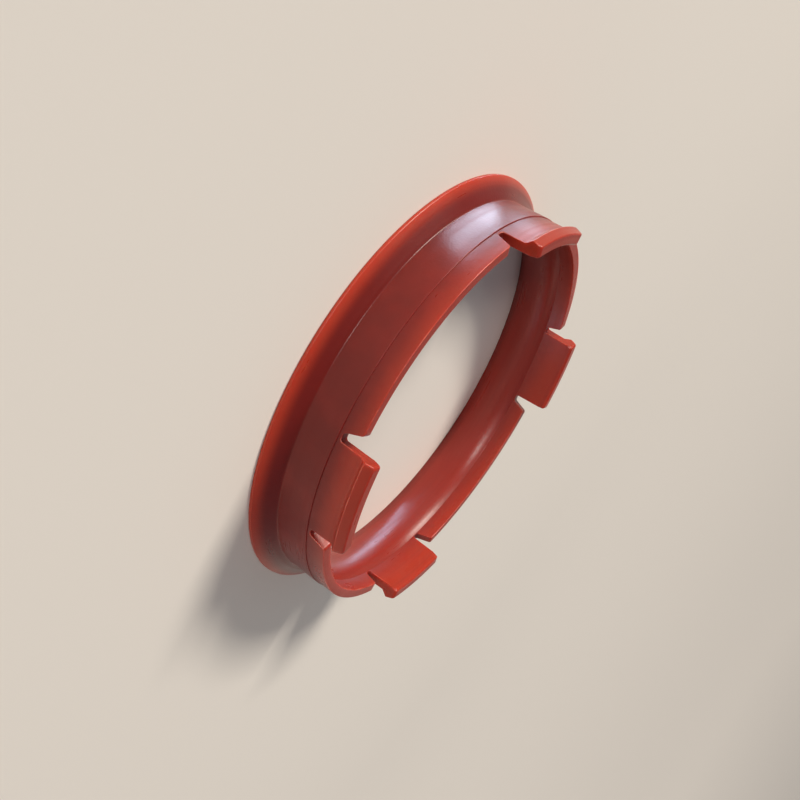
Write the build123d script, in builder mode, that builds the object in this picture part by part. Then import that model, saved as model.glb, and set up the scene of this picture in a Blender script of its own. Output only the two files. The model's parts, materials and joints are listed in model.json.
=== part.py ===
# Hub centric ring: a one-piece moulded spacer that centres a wheel on a smaller hub.
# The flange's flat back lies on Z = 0, the ring's axis is Z and the clip tabs point up.
import math
import os

from build123d import *

# Fits: the two diameters that the ring joins, in millimetres
hub_spigot = 67.1  # the hub's spigot, which the bore slides over
band_wall = 2.75  # from the bore out to the pilot band
wheel_bore = hub_spigot + 2 * band_wall  # the wheel's centre bore, filled by the pilot band

# Flange: a cone, thin at its rim, that seats in the chamfer of the wheel's bore
flange_reach = 3.2  # how far it stands out past the band
flange_diameter = wheel_bore + 2 * flange_reach
flange_rim = 0.55  # thickness at its edge
flange_root = 2.95  # thickness where it meets the band
rim_round = 0.22

# Pilot band outside, and the bore inside it: lead-in cone, plain land and shoulder cone
pilot_length = 5.7  # from the flange to the step where the clip wall starts
step_depth = 0.15  # the clip wall stands this far inside the pilot band
lead_in_length = 3.3
lead_in_depth = 2.25  # how far the lead-in opens out towards the flange's back
land_length = 4.2
shoulder_length = 1.5

# Clip wall: a low lip all round, and tabs that rise past it
clip_wall = 1.65
lip_length = 3.4  # from the step to the lip's end
lip_corner = 0.5  # round at the lip's corners beside each slot
tab_count = 4
tab_width = 16.1  # outside, at the root of its slots
tab_length = 6.95  # from the step to the tab's tip
tab_draft = 2.0  # degrees that each side of a tab leans in
tip_chamfer = 0.35  # inner edge of the tip
tip_round = 0.3  # outer edge of the tip
tip_corner = 0.5  # taken off the tip's ends

# Barb on the outside of each tab: a catch that climbs to the crest, then a run down to the tip
barb_rise = 0.9
catch_length = 1.1
barb_run = 1.55
barb_fall = 0.5

# Slots that free the sides of each tab
slot_width = 1.3  # at the root
slot_setback = 0.5  # the root lies this far past the step
slot_flare = 20.0  # degrees that the lip's side leans away from the tab
slot_round = 0.4

# Heights and radii that follow from these sizes
pilot_radius = wheel_bore / 2
bore_radius = hub_spigot / 2
flange_radius = flange_diameter / 2
mouth_radius = bore_radius + lead_in_depth
step_height = flange_root + pilot_length
land_height = lead_in_length + land_length
shoulder_height = land_height + shoulder_length
lip_height = step_height + lip_length
tip_height = step_height + tab_length
slot_height = step_height + slot_setback
corner_height = tip_height - tip_corner
crest_height = tip_height - barb_run
catch_height = crest_height - catch_length
wall_outside = pilot_radius - step_depth
wall_inside = wall_outside - clip_wall
crest_radius = wall_outside + barb_rise
tip_radius = crest_radius - barb_fall

# Slots run towards the axis, so a tab is narrower inside than outside
tab_side_angle = math.asin(tab_width / 2 / wall_outside)
slot_angle = tab_side_angle + math.asin(slot_width / 2 / wall_outside)
slot_plane = Plane(
    origin=(0, 0, 0),
    x_dir=(-math.sin(slot_angle), math.cos(slot_angle), 0),
    z_dir=(math.cos(slot_angle), math.sin(slot_angle), 0),
)

# Cutter outline, in the plane that faces a slot: away from the tab, and up
cut_height = tip_height + clip_wall
tab_side = -slot_width / 2
tab_side_top = tab_side - (corner_height - slot_height) * math.tan(math.radians(tab_draft))
tip_side = tab_side_top - (cut_height - corner_height)
lip_side = slot_width / 2
lip_side_mouth = lip_side + (lip_height - slot_height) * math.tan(math.radians(slot_flare))
gap_reach = wall_outside * math.sin(math.pi / tab_count)

with BuildPart() as tab_gaps:
    # What is cut beside one tab: two slots, each opening into half of the gap to the next tab
    with BuildSketch(slot_plane) as gap_outline:
        with BuildLine():
            Polyline(
                (tab_side, slot_height),
                (lip_side, slot_height),
                (lip_side_mouth, lip_height),
                (gap_reach, lip_height),
                (gap_reach, cut_height),
                (tip_side, cut_height),
                (tab_side_top, corner_height),
                close=True,
            )
        make_face()
        levels = gap_outline.vertices().group_by(Axis.Y)
        fillet(levels[0], radius=slot_round)
        fillet(levels[1].sort_by(Axis.X)[0], radius=lip_corner)
        fillet(levels[2], radius=tip_corner)
    extrude(amount=crest_radius + clip_wall)
    mirror(about=Plane.XZ)

with BuildPart() as hub_ring:
    # Section turned about the axis: flange, pilot band, step, barbed clip wall, then the bore
    with BuildSketch(Plane.XZ) as ring_section:
        with BuildLine():
            Polyline(
                (mouth_radius, 0),
                (flange_radius, 0),
                (flange_radius, flange_rim),
                (pilot_radius, flange_root),
                (pilot_radius, step_height),
                (wall_outside, step_height),
                (wall_outside, catch_height),
                (crest_radius, crest_height),
                (tip_radius, tip_height),
                (wall_inside, tip_height),
                (wall_inside, shoulder_height),
                (bore_radius, land_height),
                (bore_radius, lead_in_length),
                close=True,
            )
        make_face()
        rim_corners = ring_section.vertices().group_by(Axis.X)[-1]
        tip_corners = ring_section.vertices().group_by(Axis.Y)[-1].sort_by(Axis.X)
        fillet(rim_corners, radius=rim_round)
        chamfer(tip_corners[0], length=tip_chamfer)
        fillet(tip_corners[-1], radius=tip_round)
    revolve(axis=Axis.Z)
    # The barbed wall is cut down to the lip between the tabs
    with PolarLocations(0, tab_count):
        add(tab_gaps.part, mode=Mode.SUBTRACT)

hub_ring.part.label = "hub_ring"
os.makedirs("parts", exist_ok=True)
export_step(hub_ring.part, "parts/hub_ring.step")
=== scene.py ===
"""Looks of a moulded hub centric ring, on a plain floor under soft studio light."""

import json
import logging
import math
from collections.abc import Callable, Iterator
from contextlib import contextmanager
from dataclasses import dataclass
from enum import Enum

import bmesh
import bpy
from mathutils import Matrix, Vector


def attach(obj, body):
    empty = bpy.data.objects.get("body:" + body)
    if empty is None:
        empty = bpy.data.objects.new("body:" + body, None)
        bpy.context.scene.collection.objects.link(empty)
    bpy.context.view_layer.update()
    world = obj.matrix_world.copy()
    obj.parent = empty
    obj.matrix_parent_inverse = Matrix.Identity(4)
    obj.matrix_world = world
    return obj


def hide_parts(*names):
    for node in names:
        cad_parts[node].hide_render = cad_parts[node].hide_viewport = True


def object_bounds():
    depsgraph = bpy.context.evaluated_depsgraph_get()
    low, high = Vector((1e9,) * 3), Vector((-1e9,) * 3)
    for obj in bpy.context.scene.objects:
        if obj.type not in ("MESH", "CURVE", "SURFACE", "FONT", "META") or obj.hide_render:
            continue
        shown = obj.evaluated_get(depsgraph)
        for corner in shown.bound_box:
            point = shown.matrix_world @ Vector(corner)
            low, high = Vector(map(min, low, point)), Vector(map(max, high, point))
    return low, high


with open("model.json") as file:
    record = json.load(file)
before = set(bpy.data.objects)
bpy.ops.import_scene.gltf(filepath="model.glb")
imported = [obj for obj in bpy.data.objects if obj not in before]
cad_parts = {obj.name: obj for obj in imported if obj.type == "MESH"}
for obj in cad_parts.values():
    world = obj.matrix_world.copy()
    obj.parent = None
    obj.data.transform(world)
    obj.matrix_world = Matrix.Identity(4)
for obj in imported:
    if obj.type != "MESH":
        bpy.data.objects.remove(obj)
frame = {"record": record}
cad_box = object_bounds()

log = logging.getLogger("hub_centric_ring")

Triple = tuple[float, float, float]
Colour = tuple[float, float, float, float]
Socket = bpy.types.NodeSocket
Feed = Socket | float | tuple[float, ...]

MM: float = 0.001
CENTRE: Triple = (0.0, 0.0, 0.0)
UPRIGHT: Triple = (0.0, 0.0, 1.0)

# How far a corner may lie from another one, or from the place or the angle that is looked for
JOIN_SLACK: float = 0.002 * MM
PLACE_SLACK: float = 0.01 * MM
ROUND_SLACK: float = 0.03 * MM
ANGLE_SLACK: float = 0.001

# Sockets of the Mix node when it mixes colours
MIX_SHARE: int = 0
MIX_UNDER: int = 6
MIX_OVER: int = 7
MIX_RESULT: int = 2


class Pick(Enum):
    """What a selection in edit mode takes."""

    CORNERS = "VERT"
    EDGES = "EDGE"
    FACES = "FACE"


class EdgeForm(Enum):
    """How many flats a broken edge has."""

    FLAT = 1
    ROUND = 3
    SWEEP = 12


class Mark(Enum):
    """Names of the values that the mesh carries for its finish."""

    EDGE = "broken_edge"


class Sum(Enum):
    """What a node works out from two values."""

    PLUS = "ADD"
    LESS = "SUBTRACT"
    TIMES = "MULTIPLY"
    LARGER = "MAXIMUM"


@dataclass(frozen=True)
class Ramp:
    """A smooth change from a low level, up to the start, to a high level, past the end."""

    start: float
    end: float
    low: float = 0.0
    high: float = 1.0


@dataclass(frozen=True)
class Noise:
    """Soft noise: the length of its features, and how many finer layers it has."""

    size: float
    detail: float = 2.0


@dataclass
class NodeBoard:
    """A node tree, with short ways to lay its nodes and link them."""

    tree: bpy.types.NodeTree

    def lay(self, kind: str, feeds: dict[int | str, Feed], **settings: object) -> bpy.types.Node:
        """Lay one node.

        Args:
            kind: The node's type.
            feeds: For each input, the output that is linked to it or the value it is set to.
            settings: The node's other properties.

        Returns:
            The node.
        """
        node = self.tree.nodes.new(kind)
        for name, value in settings.items():
            setattr(node, name, value)
        for name, value in feeds.items():
            if isinstance(value, Socket):
                self.tree.links.new(value, node.inputs[name])
            else:
                node.inputs[name].default_value = value
        return node

    def combine(self, kind: Sum, first: Feed, second: Feed) -> Socket:
        """Work out one value from two."""
        return self.lay("ShaderNodeMath", {0: first, 1: second}, operation=kind.value).outputs[0]

    def combine_places(self, kind: Sum, first: Feed, second: Feed) -> Socket:
        """Work out one place from two, axis by axis."""
        return self.lay("ShaderNodeVectorMath", {0: first, 1: second}, operation=kind.value).outputs["Vector"]

    def follow(self, value: Socket, ramp: Ramp) -> Socket:
        """Give the level that a value has on a ramp.

        Args:
            value: What is followed.
            ramp: The levels, and where they change.

        Returns:
            The level.
        """
        feeds = {
            "Value": value,
            "From Min": ramp.start,
            "From Max": ramp.end,
            "To Min": ramp.low,
            "To Max": ramp.high,
        }
        return self.lay("ShaderNodeMapRange", feeds, interpolation_type="SMOOTHSTEP").outputs[0]

    def noise(self, place: Socket, noise: Noise) -> Socket:
        """Make soft noise.

        Args:
            place: Where it is looked up.
            noise: Its size and detail.

        Returns:
            A level of about one half, with less and more around it.
        """
        feeds = {"Vector": place, "Scale": 1 / noise.size, "Detail": noise.detail}
        return self.lay("ShaderNodeTexNoise", feeds).outputs[0]

    def blend(self, share: Socket, under: Feed, over: Feed) -> Socket:
        """Lay one colour over another by a share."""
        feeds = {MIX_SHARE: share, MIX_UNDER: under, MIX_OVER: over}
        return self.lay("ShaderNodeMix", feeds, data_type="RGBA").outputs[MIX_RESULT]


@dataclass
class Bench:
    """A mesh object that is shaped in edit mode."""

    piece: bpy.types.Object

    @classmethod
    def wire(cls, name: str, places: list[Vector]) -> "Bench":
        """Lay a wire of straight runs on a new bench.

        Args:
            name: The new piece's name.
            places: The corners of the wire, in order. Ends that meet are joined.

        Returns:
            The bench with the wire.
        """
        bpy.ops.object.select_all(action="DESELECT")
        bpy.ops.mesh.primitive_plane_add(size=MM, location=places[0])
        bpy.ops.object.transform_apply(location=True)
        bench = cls(bpy.context.object)
        bench.piece.name = bench.piece.data.name = name
        with bench.editing():
            bpy.ops.mesh.select_mode(type=Pick.CORNERS.value)
            bpy.ops.mesh.select_all(action="SELECT")
            bpy.ops.mesh.merge(type="CENTER")
            for place, following in zip(places, places[1:]):
                bpy.ops.mesh.extrude_region_move(TRANSFORM_OT_translate={"value": following - place})
            bpy.ops.mesh.select_all(action="SELECT")
            bpy.ops.mesh.remove_doubles(threshold=JOIN_SLACK)
        return bench

    def take_alone(self) -> None:
        """Make the piece the only one that is selected."""
        bpy.ops.object.select_all(action="DESELECT")
        self.piece.select_set(True)
        bpy.context.view_layer.objects.active = self.piece

    @contextmanager
    def editing(self) -> Iterator[None]:
        """Open the piece, alone, in edit mode, and close it again.

        Returns:
            A context in which the mesh operators act on the piece.
        """
        self.take_alone()
        bpy.ops.object.mode_set(mode="EDIT")
        yield
        bpy.ops.object.mode_set(mode="OBJECT")

    def spin(self, steps: int, angle: float) -> None:
        """Sweep the selection about the ring's axis."""
        bpy.ops.mesh.spin(steps=steps, angle=angle, center=CENTRE, axis=UPRIGHT)

    def pick(self, kind: Pick, wanted: Callable[[Vector], bool]) -> None:
        """Select what has all of its corners in the wanted place.

        Args:
            kind: Corners, edges or faces.
            wanted: Says whether a corner's place belongs to the selection.
        """
        bpy.ops.mesh.select_mode(type=kind.value)
        bpy.ops.mesh.select_all(action="DESELECT")
        mesh = bmesh.from_edit_mesh(self.piece.data)
        if kind is Pick.CORNERS:
            for corner in mesh.verts:
                corner.select = wanted(corner.co)
        else:
            for item in mesh.edges if kind is Pick.EDGES else mesh.faces:
                item.select = all(wanted(corner.co) for corner in item.verts)
        mesh.select_flush_mode()
        bmesh.update_edit_mesh(self.piece.data)

    def break_edges(self, width: float, form: EdgeForm) -> None:
        """Bevel the selected edges.

        Args:
            width: From the edge to where the bevel meets each face.
            form: The bevel's shape.
        """
        bpy.ops.mesh.bevel(offset_type="OFFSET", offset=width, segments=form.value, profile=0.5,
                           affect="EDGES", clamp_overlap=False)

    def mark_faces(self, mark: Mark) -> None:
        """Give the selected faces a value of one under the mark's name.

        Args:
            mark: The value to set. It is zero on every other face.
        """
        mesh = bmesh.from_edit_mesh(self.piece.data)
        layer = mesh.faces.layers.float.new(mark.value)
        for face in mesh.faces:
            if face.select:
                face[layer] = 1.0
        bmesh.update_edit_mesh(self.piece.data)

    def raise_up(self, height: float) -> None:
        """Extrude the selection upwards."""
        bpy.ops.mesh.extrude_region_move(TRANSFORM_OT_translate={"value": (0.0, 0.0, height)})

    def turn(self, angle: float) -> None:
        """Turn the selection about the ring's axis, counter-clockwise seen from above."""
        bpy.ops.transform.rotate(value=-angle, orient_axis="Z", center_override=CENTRE)

    def face_outwards(self) -> None:
        """Merge doubled corners and point every face outwards."""
        bpy.ops.mesh.select_all(action="SELECT")
        bpy.ops.mesh.remove_doubles(threshold=JOIN_SLACK)
        bpy.ops.mesh.normals_make_consistent(inside=False)


def near(value: float, target: float, slack: float = PLACE_SLACK) -> bool:
    """Say whether two values agree within the slack."""
    return abs(value - target) < slack


def radius(place: Vector) -> float:
    """Give a place's distance from the ring's axis."""
    return math.hypot(place.x, place.y)


def round_width(fillet: float, turn: float) -> float:
    """Give the bevel width that makes a round of a given radius.

    Args:
        fillet: The round's radius.
        turn: How far the surface turns across the edge, in radians.

    Returns:
        The distance from the edge to where the round starts.
    """
    return fillet * math.tan(turn / 2)


@dataclass
class ClipTabs:
    """The barbed tabs, and the slots that free their sides."""

    count: int = 4
    width: float = 16.1 * MM
    length: float = 6.95 * MM
    draft: float = math.radians(2.0)
    tip_chamfer: float = 0.35 * MM
    tip_round: float = 0.3 * MM
    tip_corner: float = 0.5 * MM
    barb_rise: float = 0.9 * MM
    catch_length: float = 1.1 * MM
    barb_run: float = 1.55 * MM
    barb_fall: float = 0.5 * MM
    slot_width: float = 1.3 * MM
    slot_setback: float = 0.5 * MM
    slot_flare: float = math.radians(20.0)
    slot_round: float = 0.4 * MM
    lip_corner: float = 0.5 * MM

    def bearing(self, place: Vector) -> float:
        """Give the angle from the middle of the nearest tab to a place.

        Args:
            place: Anywhere on the ring.

        Returns:
            The angle about the axis, in radians, positive counter-clockwise.
        """
        pitch = math.tau / self.count
        return (math.atan2(place.y, place.x) + pitch / 2) % pitch - pitch / 2


@dataclass
class RingSection:
    """The ring's section and the heights, radii and angles that follow from its sizes."""

    flange_radius: float
    pilot_radius: float
    bore_radius: float
    pilot_length: float
    land_length: float
    tabs: ClipTabs
    flange_rim: float = 0.55 * MM
    flange_root: float = 2.95 * MM
    rim_round: float = 0.22 * MM
    step_depth: float = 0.15 * MM
    lead_in_length: float = 3.3 * MM
    lead_in_depth: float = 2.25 * MM
    shoulder_length: float = 1.5 * MM
    clip_wall: float = 1.65 * MM
    lip_length: float = 3.4 * MM

    def __post_init__(self) -> None:
        """Work out the heights, radii and angles that follow from the sizes."""
        tabs = self.tabs
        self.land_height: float = self.lead_in_length + self.land_length
        self.shoulder_height: float = self.land_height + self.shoulder_length
        self.step_height: float = self.flange_root + self.pilot_length
        self.lip_height: float = self.step_height + self.lip_length
        self.tip_height: float = self.step_height + tabs.length
        self.slot_height: float = self.step_height + tabs.slot_setback
        self.crest_height: float = self.tip_height - tabs.barb_run
        self.catch_height: float = self.crest_height - tabs.catch_length
        self.wall_outside: float = self.pilot_radius - self.step_depth
        self.wall_inside: float = self.wall_outside - self.clip_wall
        self.crest_radius: float = self.wall_outside + tabs.barb_rise
        self.tip_radius: float = self.crest_radius - tabs.barb_fall
        self.tab_angle: float = math.asin(tabs.width / 2 / self.wall_outside)
        self.tip_angle: float = self.tab_angle - self.lean(self.tip_height, tabs.draft)
        self.lip_angle: float = self.tab_angle + tabs.slot_width / self.wall_outside
        self.lip_lean: float = self.lean(self.lip_height, tabs.slot_flare)

    def lean(self, height: float, slope: float) -> float:
        """Give the angle about the axis by which a slot's side leans, from the slot's root up to a height.

        Args:
            height: Where the lean is wanted.
            slope: The side's slope off the upright, in radians.

        Returns:
            The angle, in radians.
        """
        return (height - self.slot_height) * math.tan(slope) / self.wall_outside

    def base_corners(self) -> list[tuple[float, float]]:
        """List the corners of the section up to the roots of the slots.

        Returns:
            Radius and height of each corner, from the bore's mouth outwards and round to the lead-in.
        """
        return [
            (self.bore_radius + self.lead_in_depth, 0.0),
            (self.flange_radius, 0.0),
            (self.flange_radius, self.flange_rim),
            (self.pilot_radius, self.flange_root),
            (self.pilot_radius, self.step_height),
            (self.wall_outside, self.step_height),
            (self.wall_outside, self.slot_height),
            (self.wall_inside, self.slot_height),
            (self.wall_inside, self.shoulder_height),
            (self.bore_radius, self.land_height),
            (self.bore_radius, self.lead_in_length),
        ]


@dataclass
class Surface:
    """What the plastic's colour, gloss and relief follow at each place on the ring."""

    place: Socket
    reach: Socket
    clouds: Socket
    marks: Socket
    edge_wear_and_highlight: Socket


@dataclass(frozen=True)
class MouldedPlastic:
    """Satin red plastic that lets some light through where it is thin. Its colour also holds painted light: a
    painted glow where it is thin, painted shade on the flange, a painted highlight along with wear on the broken
    edges, and a bore painted lighter.
    """

    section: RingSection
    name: str = "ring_plastic"
    body: Colour = (0.22, 0.013, 0.008, 1.0)
    # Darker red: random tone and mould marks, and painted shade on the flange
    deep: Colour = (0.15, 0.008, 0.005, 1.0)
    # Painted glow: a lighter red for the thin rim, lip and tabs, standing for light that comes through the plastic
    thin: Colour = (0.42, 0.038, 0.015, 1.0)
    # Lighter red on broken edges: partly wear, partly a painted highlight where edges catch light
    edge_wear_and_highlight: Colour = (0.54, 0.14, 0.10, 1.0)
    # Painted light: a lighter red inside the bore, standing for light that the lamps don't bring there
    bore: Colour = (0.30, 0.026, 0.016, 1.0)

    # Where these colours lie, from the band or the lip's end, and their largest shares
    # Painted shade: past the band's radius, chiefly on the flange, the colour goes towards the deep red
    flange_shade_run: float = 0.3 * MM
    flange_shade_share: float = 0.9
    # How far inside the band the bore's painted light starts, and its largest share
    bore_depth: float = 0.4 * MM
    painted_bore_light_share: float = 0.8
    # Where the painted glow starts on the flange, how it runs up the lip, and its largest share there
    rim_start: float = 1.3 * MM
    lip_run: float = 1.0 * MM
    lip_share: float = 0.70

    # Noise, and the marks of the turned mould: lines for each metre, and how fast they change along their run
    clouds: Noise = Noise(12.0 * MM, 3.0)
    rubs: Noise = Noise(2.2 * MM, 4.0)
    waves: Noise = Noise(4.0 * MM)
    grain: Noise = Noise(0.4 * MM)
    mark_rate: float = 1300.0
    mark_drift: float = 0.7
    mark_detail: float = 1.0

    # What follows the noise
    cloud_shade: Ramp = Ramp(0.35, 0.68)
    cloud_roughness: Ramp = Ramp(0.30, 0.70, 0.30, 0.38)
    mark_shade: Ramp = Ramp(0.45, 0.80, 0.0, 0.25)
    mark_roughness: Ramp = Ramp(0.35, 0.70, -0.04, 0.05)
    rubbing: Ramp = Ramp(0.42, 0.66, 0.10, 0.75)
    worn_polish: float = 0.10
    grain_height: float = 0.018 * MM
    mark_height: float = 0.006 * MM
    wave_height: float = 0.03 * MM

    # Gloss, and the light that scatters inside the plastic
    gloss: float = 0.42
    scatter: float = 0.6
    scatter_reach: Triple = (1.0, 0.16, 0.08)
    scatter_depth: float = 2.4 * MM

    def turning_marks(self, board: NodeBoard, place: Socket, flat: Socket, reach: Socket) -> Socket:
        """Make faint marks that run round the ring, as the turned mould leaves them.

        Args:
            board: The material's nodes.
            place: The place on the ring.
            flat: The same place without its height.
            reach: Its distance from the axis.

        Returns:
            A level of about one half, with less and more around it.
        """
        heading = board.lay("ShaderNodeVectorMath", {0: flat}, operation="NORMALIZE").outputs["Vector"]
        along = board.combine_places(Sum.TIMES, heading, (self.mark_drift, self.mark_drift, 0.0))
        across = board.combine_places(Sum.TIMES, place, (0.0, 0.0, self.mark_rate))
        feeds = {
            "Vector": board.combine_places(Sum.PLUS, along, across),
            "W": board.combine(Sum.TIMES, reach, self.mark_rate),
            "Scale": 1.0,
            "Detail": self.mark_detail,
        }
        return board.lay("ShaderNodeTexNoise", feeds, noise_dimensions="4D").outputs[0]

    def survey(self, board: NodeBoard) -> Surface:
        """Lay the nodes that the finish follows.

        Args:
            board: The material's nodes.

        Returns:
            The place on the ring, its distance from the axis, the noise, the marks, and the broken edges with their
            wear and painted highlight.
        """
        place = board.lay("ShaderNodeTexCoord", {}).outputs["Object"]
        flat = board.combine_places(Sum.TIMES, place, (1.0, 1.0, 0.0))
        reach = board.lay("ShaderNodeVectorMath", {0: flat}, operation="LENGTH").outputs["Value"]
        edge = board.lay("ShaderNodeAttribute", {}, attribute_name=Mark.EDGE.value).outputs["Fac"]
        rubbed = board.follow(board.noise(place, self.rubs), self.rubbing)
        return Surface(
            place=place,
            reach=reach,
            clouds=board.noise(place, self.clouds),
            marks=self.turning_marks(board, place, flat, reach),
            edge_wear_and_highlight=board.combine(Sum.TIMES, edge, rubbed),
        )

    def painted_glow_share(self, board: NodeBoard, surface: Surface) -> Socket:
        """Say how much painted glow, standing for light that comes through, lies on the flange towards its rim and
        on the lip and tabs.

        Args:
            board: The material's nodes.
            surface: What the finish follows.

        Returns:
            A share from zero to one.
        """
        section = self.section
        height = board.lay("ShaderNodeSeparateXYZ", {0: surface.place}).outputs["Z"]
        to_rim = Ramp(section.pilot_radius + self.rim_start, section.flange_radius)
        up_lip = Ramp(section.step_height, section.lip_height + self.lip_run, 0.0, self.lip_share)
        return board.combine(Sum.LARGER, board.follow(surface.reach, to_rim), board.follow(height, up_lip))

    def colour(self, board: NodeBoard, surface: Surface) -> Socket:
        """Lay the colours over each other.

        Args:
            board: The material's nodes.
            surface: What the finish follows.

        Returns:
            The colour.
        """
        band, wall = self.section.pilot_radius, self.section.wall_inside
        painted_flange_shade = Ramp(band, band + self.flange_shade_run, 0.0, self.flange_shade_share)
        inside = Ramp(band - self.bore_depth, wall, 0.0, self.painted_bore_light_share)
        colour = board.blend(board.follow(surface.clouds, self.cloud_shade), self.body, self.deep)
        # Painted shade on the flange, out from the band's root
        colour = board.blend(board.follow(surface.reach, painted_flange_shade), colour, self.deep)
        # Painted light inside the bore
        colour = board.blend(board.follow(surface.reach, inside), colour, self.bore)
        # Painted glow on the flange's rim, the lip and the tabs
        colour = board.blend(self.painted_glow_share(board, surface), colour, self.thin)
        colour = board.blend(board.follow(surface.marks, self.mark_shade), colour, self.deep)
        # Broken edges lighter: wear, and a painted highlight
        return board.blend(surface.edge_wear_and_highlight, colour, self.edge_wear_and_highlight)

    def roughness(self, board: NodeBoard, surface: Surface) -> Socket:
        """Work out the roughness, which the marks vary and wear polishes.

        Args:
            board: The material's nodes.
            surface: What the finish follows.

        Returns:
            The roughness.
        """
        base = board.follow(surface.clouds, self.cloud_roughness)
        marked = board.combine(Sum.PLUS, base, board.follow(surface.marks, self.mark_roughness))
        return board.combine(Sum.LESS, marked, board.combine(Sum.TIMES, surface.edge_wear_and_highlight, self.worn_polish))

    def relief(self, board: NodeBoard, surface: Surface) -> Socket:
        """Work out the fine relief: mould grain, marks and shallow waves.

        Args:
            board: The material's nodes.
            surface: What the finish follows.

        Returns:
            The surface's direction.
        """
        grain = board.combine(Sum.TIMES, board.noise(surface.place, self.grain), self.grain_height)
        marks = board.combine(Sum.TIMES, surface.marks, self.mark_height)
        waves = board.combine(Sum.TIMES, board.noise(surface.place, self.waves), self.wave_height)
        height = board.combine(Sum.PLUS, board.combine(Sum.PLUS, grain, marks), waves)
        return board.lay("ShaderNodeBump", {"Height": height, "Strength": 1.0, "Distance": 1.0}).outputs["Normal"]

    def material(self) -> bpy.types.Material:
        """Make the material.

        Returns:
            A node material on object coordinates.
        """
        material = bpy.data.materials.new(self.name)
        material.use_nodes = True
        board = NodeBoard(material.node_tree)
        surface = self.survey(board)
        shader = material.node_tree.nodes["Principled BSDF"]
        shader.inputs["Specular IOR Level"].default_value = self.gloss
        shader.inputs["Subsurface Weight"].default_value = self.scatter
        shader.inputs["Subsurface Radius"].default_value = self.scatter_reach
        shader.inputs["Subsurface Scale"].default_value = self.scatter_depth
        links = material.node_tree.links
        links.new(self.colour(board, surface), shader.inputs["Base Color"])
        links.new(self.roughness(board, surface), shader.inputs["Roughness"])
        links.new(self.relief(board, surface), shader.inputs["Normal"])
        return material


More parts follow.
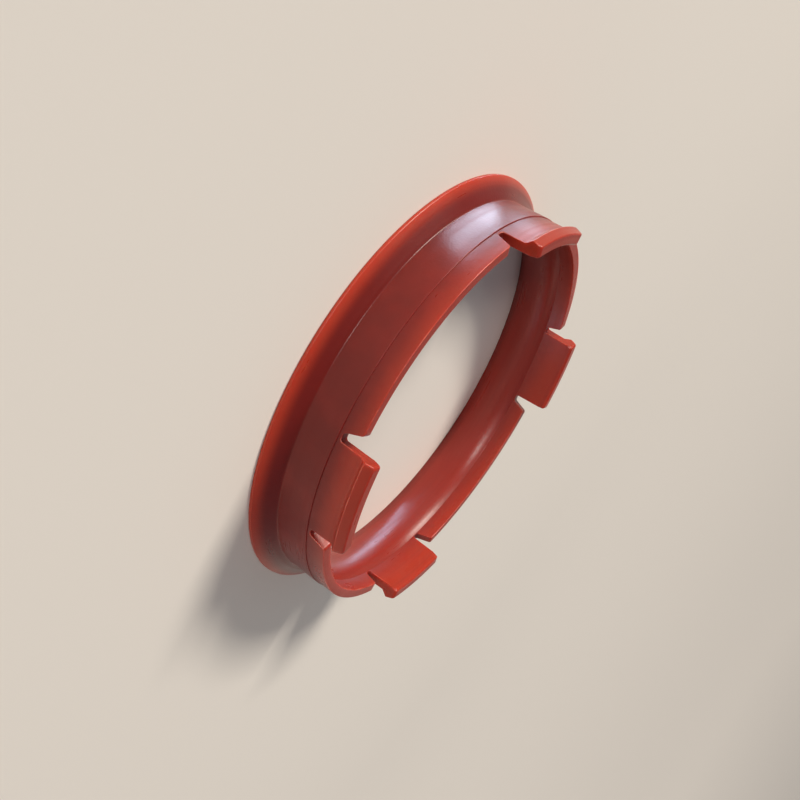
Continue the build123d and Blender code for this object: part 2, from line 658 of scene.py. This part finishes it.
@dataclass
class HubRing:
    """The whole moulding: flange, pilot band, lip and clip tabs around the bore."""

    section: RingSection
    finish: MouldedPlastic

    # Columns of faces in one tab, one slot and one lip, and those of the lip that lean with its side
    tab_columns: int = 16
    slot_columns: int = 2
    lip_columns: int = 40
    lean_columns: int = 6

    # Edges: the width taken off, the fillet at the band's root, and the step's round as a share of its depth
    broken_edge: float = 0.11 * MM
    root_fillet: float = 0.15 * MM
    step_share: float = 0.6

    # Which edges count as sharp, up to which turn the shading is smooth, and how far above a slot's root,
    # in slot rounds, the inner edges are left as they are
    sharp_turn: float = math.radians(50.0)
    smooth_turn: float = math.radians(40.0)
    slot_clearance: float = 1.5

    def turn_base(self) -> Bench:
        """Spin the section about the axis, up to the roots of the slots, with columns that end at each tab and slot.

        Returns:
            The base ring on its bench.
        """
        section = self.section
        start = -section.tab_angle
        outline = [Vector((reach * math.cos(start), reach * math.sin(start), height))
                   for reach, height in section.base_corners()]
        slot_span = section.lip_angle - section.tab_angle
        runs = (
            (2 * section.tab_angle, self.tab_columns),
            (slot_span, self.slot_columns),
            (self.lip_span(), self.lip_columns),
            (slot_span, self.slot_columns),
        )
        bench = Bench.wire("moulded_ring", outline + outline[:1])
        with bench.editing():
            bpy.ops.mesh.select_all(action="SELECT")
            for _ in range(section.tabs.count):
                for span, columns in runs:
                    bench.spin(columns, -span)
            bench.face_outwards()
        return bench

    def lip_span(self) -> float:
        """Give the angle that the lip takes up between two tabs, at the slots' roots."""
        return math.tau / self.section.tabs.count - 2 * self.section.lip_angle

    def raise_lip(self, bench: Bench) -> None:
        """Raise the lip between the slots, with its sides leaning away from the tabs.

        Args:
            bench: The base ring.
        """
        section = self.section
        bearing = section.tabs.bearing
        pitch = self.lip_span() / self.lip_columns
        with bench.editing():
            bench.pick(Pick.FACES, lambda co: near(co.z, section.slot_height)
                       and abs(bearing(co)) > section.lip_angle - ANGLE_SLACK)
            bench.raise_up(section.lip_height - section.slot_height)
            for column in reversed(range(self.lean_columns)):
                share = 1.0 - column / self.lean_columns
                angle = section.lip_angle + column * pitch
                for side in (-1.0, 1.0):
                    bench.pick(Pick.CORNERS, lambda co: near(co.z, section.lip_height)
                               and near(bearing(co), side * angle, ANGLE_SLACK))
                    bench.turn(side * share * section.lip_lean)

    def raise_tabs(self, bench: Bench) -> None:
        """Raise the tabs in three lifts, straight to the catch, out to the crest and in to the tip.

        Args:
            bench: The ring with its lip.
        """
        section = self.section
        bearing = section.tabs.bearing
        low, reach, side_angle = section.slot_height, section.wall_outside, section.tab_angle
        lifts = (
            (section.catch_height, section.wall_outside),
            (section.crest_height, section.crest_radius),
            (section.tip_height, section.tip_radius),
        )
        with bench.editing():
            for high, next_reach in lifts:
                bench.pick(Pick.FACES, lambda co: near(co.z, low) and abs(bearing(co)) < side_angle + ANGLE_SLACK)
                bench.raise_up(high - low)
                bench.pick(Pick.CORNERS, lambda co: near(co.z, high) and near(radius(co), reach))
                growth = next_reach / reach
                bpy.ops.transform.resize(value=(growth, growth, 1.0), center_override=CENTRE)
                lean = (high - low) * math.tan(section.tabs.draft) / section.wall_outside
                for side in (-1.0, 1.0):
                    bench.pick(Pick.CORNERS, lambda co: near(co.z, high)
                               and near(bearing(co), side * side_angle, ANGLE_SLACK))
                    bench.turn(-side * lean)
                low, reach, side_angle = high, next_reach, side_angle - lean

    def round_slots_and_rim(self, bench: Bench) -> None:
        """Round the slots' roots, the lip's corners and the flange's rim.

        Args:
            bench: The ring with its lip and tabs.
        """
        section = self.section
        tabs = section.tabs
        bearing = tabs.bearing
        mouth_angle = section.lip_angle + section.lip_lean
        cone = math.atan2(section.flange_radius - section.pilot_radius, section.flange_root - section.flange_rim)
        rims = ((0.0, section.rim_round), (section.flange_rim, round_width(section.rim_round, cone)))
        with bench.editing():
            for side_angle in (section.tab_angle, section.lip_angle):
                bench.pick(Pick.EDGES, lambda co: near(co.z, section.slot_height)
                           and near(abs(bearing(co)), side_angle, ANGLE_SLACK))
                bench.break_edges(tabs.slot_round, EdgeForm.ROUND)
            bench.pick(Pick.EDGES, lambda co: near(co.z, section.lip_height)
                       and near(abs(bearing(co)), mouth_angle, ANGLE_SLACK))
            bench.break_edges(round_width(tabs.lip_corner, math.pi / 2 - tabs.slot_flare), EdgeForm.ROUND)
            for height, width in rims:
                bench.pick(Pick.EDGES, lambda co: near(radius(co), section.flange_radius) and near(co.z, height))
                bench.break_edges(width, EdgeForm.ROUND)

    def round_tips(self, bench: Bench) -> None:
        """Round the tips' ends and their outer edges, and chamfer their inner edges.

        Args:
            bench: The ring with its slots and rim rounded.
        """
        section = self.section
        tabs = section.tabs
        low = section.tip_height - tabs.tip_corner - PLACE_SLACK
        run_lean = math.atan2(tabs.barb_fall, tabs.barb_run)
        with bench.editing():
            bench.pick(Pick.EDGES, lambda co: near(co.z, section.tip_height)
                       and near(abs(tabs.bearing(co)), section.tip_angle, ANGLE_SLACK))
            bench.break_edges(tabs.tip_corner, EdgeForm.ROUND)
            bench.pick(Pick.EDGES, lambda co: co.z > low and near(
                radius(co), section.tip_radius + (section.tip_height - co.z) * math.tan(run_lean), ROUND_SLACK))
            bench.break_edges(round_width(tabs.tip_round, math.pi / 2 - run_lean), EdgeForm.ROUND)
            bench.pick(Pick.EDGES, lambda co: co.z > low and near(radius(co), section.wall_inside, ROUND_SLACK))
            bench.break_edges(tabs.tip_chamfer, EdgeForm.FLAT)

    def break_sharp_edges(self, bench: Bench) -> None:
        """Take the sharpness off the other edges, as a mould leaves them, and mark the flats that this makes.

        Args:
            bench: The ring with its corners rounded.
        """
        section = self.section
        root_top = section.slot_height + self.slot_clearance * section.tabs.slot_round
        with bench.editing():
            bench.face_outwards()
            bpy.ops.mesh.select_mode(type=Pick.EDGES.value)
            bpy.ops.mesh.select_all(action="DESELECT")
            bpy.ops.mesh.edges_select_sharp(sharpness=self.sharp_turn)
            mesh = bmesh.from_edit_mesh(bench.piece.data)
            for edge in mesh.edges:
                places = [corner.co for corner in edge.verts]
                at_step = all(near(place.z, section.step_height) for place in places)
                at_root = all(place.z < root_top and near(radius(place), section.wall_inside) for place in places)
                if at_step or at_root or not edge.is_convex:
                    edge.select = False
            mesh.select_flush_mode()
            bmesh.update_edit_mesh(bench.piece.data)
            bench.break_edges(self.broken_edge, EdgeForm.ROUND)
            bench.mark_faces(Mark.EDGE)

    def round_band(self, bench: Bench) -> None:
        """Round the step's edge and fill the band's root with a small fillet.

        Args:
            bench: The ring with its sharp edges broken.
        """
        section = self.section
        rounds = (
            (section.step_height, self.step_share * section.step_depth),
            (section.flange_root, self.root_fillet),
        )
        with bench.editing():
            for height, width in rounds:
                bench.pick(Pick.EDGES, lambda co: near(co.z, height) and near(radius(co), section.pilot_radius))
                bench.break_edges(width, EdgeForm.ROUND)
            bench.face_outwards()

    def shade(self, bench: Bench) -> None:
        """Shade the ring smooth, with the flats kept flat by weighted normals.

        Args:
            bench: The finished ring.
        """
        bench.take_alone()
        bpy.ops.object.shade_smooth_by_angle(angle=self.smooth_turn)
        weighted = bench.piece.modifiers.new("flats", "WEIGHTED_NORMAL")
        weighted.keep_sharp = True
        bpy.ops.object.modifier_apply(modifier=weighted.name)

    def build(self) -> bpy.types.Object:
        """Model the ring and dress it.

        Returns:
            The finished piece, which stands for the CAD node.
        """
        bench = self.turn_base()
        self.raise_lip(bench)
        self.raise_tabs(bench)
        self.round_slots_and_rim(bench)
        self.round_tips(bench)
        self.break_sharp_edges(bench)
        self.round_band(bench)
        self.shade(bench)
        piece = bench.piece
        piece.data.materials.clear()
        piece.data.materials.append(self.finish.material())
        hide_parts("hub_ring")
        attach(piece, "root")
        return piece


@dataclass(frozen=True)
class SoftLamp:
    """A square lamp that stands off and shines level, over the ring, so the floor near it doesn't burn out."""

    name: str
    place: Triple
    width: float
    height: float
    power: float
    colour: Triple
    beam: float = math.radians(120.0)
    gloss_only: bool = False

    def facing(self) -> Vector:
        """Give the direction in which the lamp shines: level, towards the ring's axis."""
        return Vector((-self.place[0], -self.place[1], 0.0))

    def build(self) -> None:
        """Hang the lamp where the camera doesn't see it."""
        data = bpy.data.lights.new(self.name, "AREA")
        data.shape = "RECTANGLE"
        data.size = self.width
        data.size_y = self.height
        data.energy = self.power
        data.spread = self.beam
        data.color = self.colour
        lamp = bpy.data.objects.new(self.name, data)
        bpy.context.scene.collection.objects.link(lamp)
        lamp.location = self.place
        lamp.rotation_euler = self.facing().to_track_quat("-Z", "Y").to_euler()
        lamp.visible_camera = False
        lamp.visible_diffuse = not self.gloss_only


@dataclass(frozen=True)
class SheenCard(SoftLamp):
    """A small card that lies face up on the floor and shows only in the ring's gloss, as a cool sheen."""

    beam: float = math.pi
    gloss_only: bool = True

    def facing(self) -> Vector:
        """Give the direction in which the card shines: up."""
        return Vector(UPRIGHT)


@dataclass(frozen=True)
class MattFloor:
    """A pale floor covering without gloss."""

    name: str = "pale_floor"
    colour: Colour = (0.84, 0.785, 0.72, 1.0)
    roughness: float = 0.9
    gloss: float = 0.0

    def material(self) -> bpy.types.Material:
        """Make the material.

        Returns:
            A plain material.
        """
        material = bpy.data.materials.new(self.name)
        material.use_nodes = True
        shader = material.node_tree.nodes["Principled BSDF"]
        shader.inputs["Base Color"].default_value = self.colour
        shader.inputs["Roughness"].default_value = self.roughness
        shader.inputs["Specular IOR Level"].default_value = self.gloss
        return material


@dataclass
class Studio:
    """A pale floor that rises gently all round, with soft lamps."""

    finish: MattFloor

    # Floor: its drop below the flange, its reach, its slope, and the share of the flat that the bend takes up
    drop: float = 0.02 * MM
    flat_reach: float = 0.8
    slope_reach: float = 4.8
    slope: float = math.radians(26.0)
    bend_share: float = 0.7
    columns: int = 96

    # Light: a weak cool sky, two lamps, and cards for the sheen on the band, the upper tab and the bore
    sky_colour: Colour = (0.86, 0.89, 1.0, 1.0)
    sky_strength: float = 0.20
    lamps: tuple[SoftLamp, ...] = (
        SoftLamp("warm_key", place=(-0.62, -2.17, 1.30), width=0.72, height=0.72,
                 power=47.0, colour=(1.0, 0.94, 0.84)),
        SoftLamp("front_fill", place=(1.365, -1.17, 0.741), width=0.39, height=0.39,
                 power=7.1, colour=(1.0, 0.97, 0.92)),
        SheenCard("sheen_card", place=(0.002, -0.0455, 0.0003), width=0.020, height=0.010,
                  power=0.0075, colour=(0.64, 0.80, 1.0)),
        SheenCard("tab_card", place=(-0.0205, -0.051, 0.0003), width=0.013, height=0.012,
                  power=0.0030, colour=(0.64, 0.80, 1.0)),
        SheenCard("bore_card", place=(-0.0083, 0.0258, 0.0003), width=0.009, height=0.008,
                  power=0.0019, colour=(0.46, 0.74, 1.0)),
    )

    def build_floor(self) -> None:
        """Spin the floor and its slope, just under the ring's flange. It isn't part of the object."""
        rise = (self.slope_reach - self.flat_reach) * math.tan(self.slope)
        bench = Bench.wire("floor", [
            Vector((0.0, 0.0, -self.drop)),
            Vector((self.flat_reach, 0.0, -self.drop)),
            Vector((self.slope_reach, 0.0, rise)),
        ])
        with bench.editing():
            bpy.ops.mesh.select_all(action="SELECT")
            bench.spin(self.columns, math.tau)
            bench.face_outwards()
            bench.pick(Pick.EDGES, lambda co: near(radius(co), self.flat_reach, MM))
            bench.break_edges(self.bend_share * self.flat_reach, EdgeForm.SWEEP)
        bpy.ops.object.shade_smooth()
        bench.piece.data.materials.append(self.finish.material())

    def light(self) -> None:
        """Set the world and hang the lamps."""
        world = bpy.data.worlds.new("studio")
        bpy.context.scene.world = world
        world.use_nodes = True
        sky = world.node_tree.nodes["Background"]
        sky.inputs["Color"].default_value = self.sky_colour
        sky.inputs["Strength"].default_value = self.sky_strength
        for lamp in self.lamps:
            lamp.build()


@dataclass
class PhotoCamera:
    """A camera at the photograph's viewing angle."""

    aim: Triple = (3.44 * MM, 1.21 * MM, 1.04 * MM)
    azimuth: float = math.radians(-32.02)
    elevation: float = math.radians(20.91)
    roll: float = math.radians(122.77)
    distance: float = 143.49 * MM
    lens: float = 37.08
    sensor: float = 36.0
    nearest: float = 10.0 * MM

    def build(self) -> None:
        """Set the camera up and make it the scene's own."""
        data = bpy.data.cameras.new("photo_camera")
        data.lens = self.lens
        data.sensor_width = self.sensor
        data.clip_start = self.nearest
        camera = bpy.data.objects.new("photo_camera", data)
        bpy.context.scene.collection.objects.link(camera)
        back = Vector((math.cos(self.elevation) * math.cos(self.azimuth),
                       math.cos(self.elevation) * math.sin(self.azimuth),
                       math.sin(self.elevation)))
        level = back.to_track_quat("Z", "Y").to_matrix().to_4x4()
        roll = Matrix.Rotation(self.roll, 4, "Z")
        camera.matrix_world = Matrix.Translation(Vector(self.aim) + back * self.distance) @ level @ roll
        bpy.context.scene.camera = camera


def main() -> None:
    """Build the ring and its studio, and report each piece."""
    logging.basicConfig(level=logging.INFO, format="%(name)s: %(message)s")
    mounts = {mount["name"]: mount["dims"] for mount in frame["record"]["mounts"]}
    section = RingSection(
        flange_radius=cad_box[1][0],
        pilot_radius=mounts["wheel_seat"]["r_mm"] * MM,
        bore_radius=mounts["hub_bore"]["r_mm"] * MM,
        pilot_length=mounts["wheel_seat"]["length_mm"] * MM,
        land_length=mounts["hub_bore"]["length_mm"] * MM,
        tabs=ClipTabs(),
    )
    ring = HubRing(section, MouldedPlastic(section)).build()
    log.info("%s has %d faces", ring.name, len(ring.data.polygons))
    studio = Studio(MattFloor())
    studio.build_floor()
    studio.light()
    PhotoCamera().build()
    bpy.context.scene.view_settings.view_transform = "Standard"


if __name__ == "__main__":
    main()
